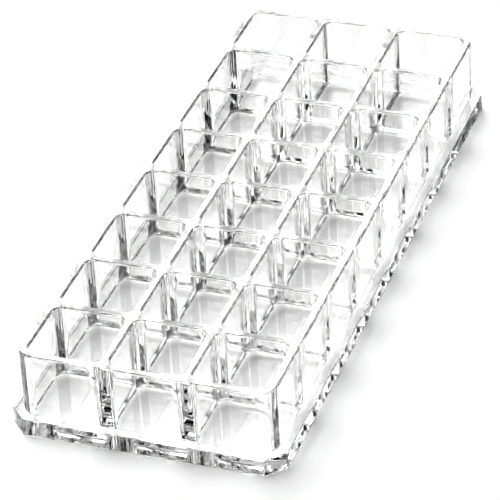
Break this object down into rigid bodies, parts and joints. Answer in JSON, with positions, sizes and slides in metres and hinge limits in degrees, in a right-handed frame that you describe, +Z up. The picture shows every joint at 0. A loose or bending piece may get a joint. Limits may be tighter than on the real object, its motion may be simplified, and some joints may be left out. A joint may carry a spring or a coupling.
{
  "type": "vanity organizer",
  "caption": "Clear acrylic vanity organizer: a long open tray of upright cells with rounded corners, on a wider base with cut corners, to stand lipsticks and small tubes in.",
  "frame": {"origin": "middle of the base plate's underside, on the surface that the organizer stands on", "axes": "+Z up, +Y along the long side from the front to the rear, +X to the right seen from the front"},
  "size_m": [0.0938, 0.2386, 0.029],
  "materials": {
    "clear_acrylic": "clear, polished"
  },
  "bodies": {
    "root": {"base_plate": "clear_acrylic", "front_wall": "clear_acrylic", "right_wall": "clear_acrylic", "rear_wall": "clear_acrylic", "left_wall": "clear_acrylic", "long_divider_1": "clear_acrylic", "long_divider_2": "clear_acrylic", "cross_divider_1": "clear_acrylic", "cross_divider_2": "clear_acrylic", "cross_divider_3": "clear_acrylic", "cross_divider_4": "clear_acrylic", "cross_divider_5": "clear_acrylic", "cross_divider_6": "clear_acrylic", "cross_divider_7": "clear_acrylic"}
  },
  "joints": []
}
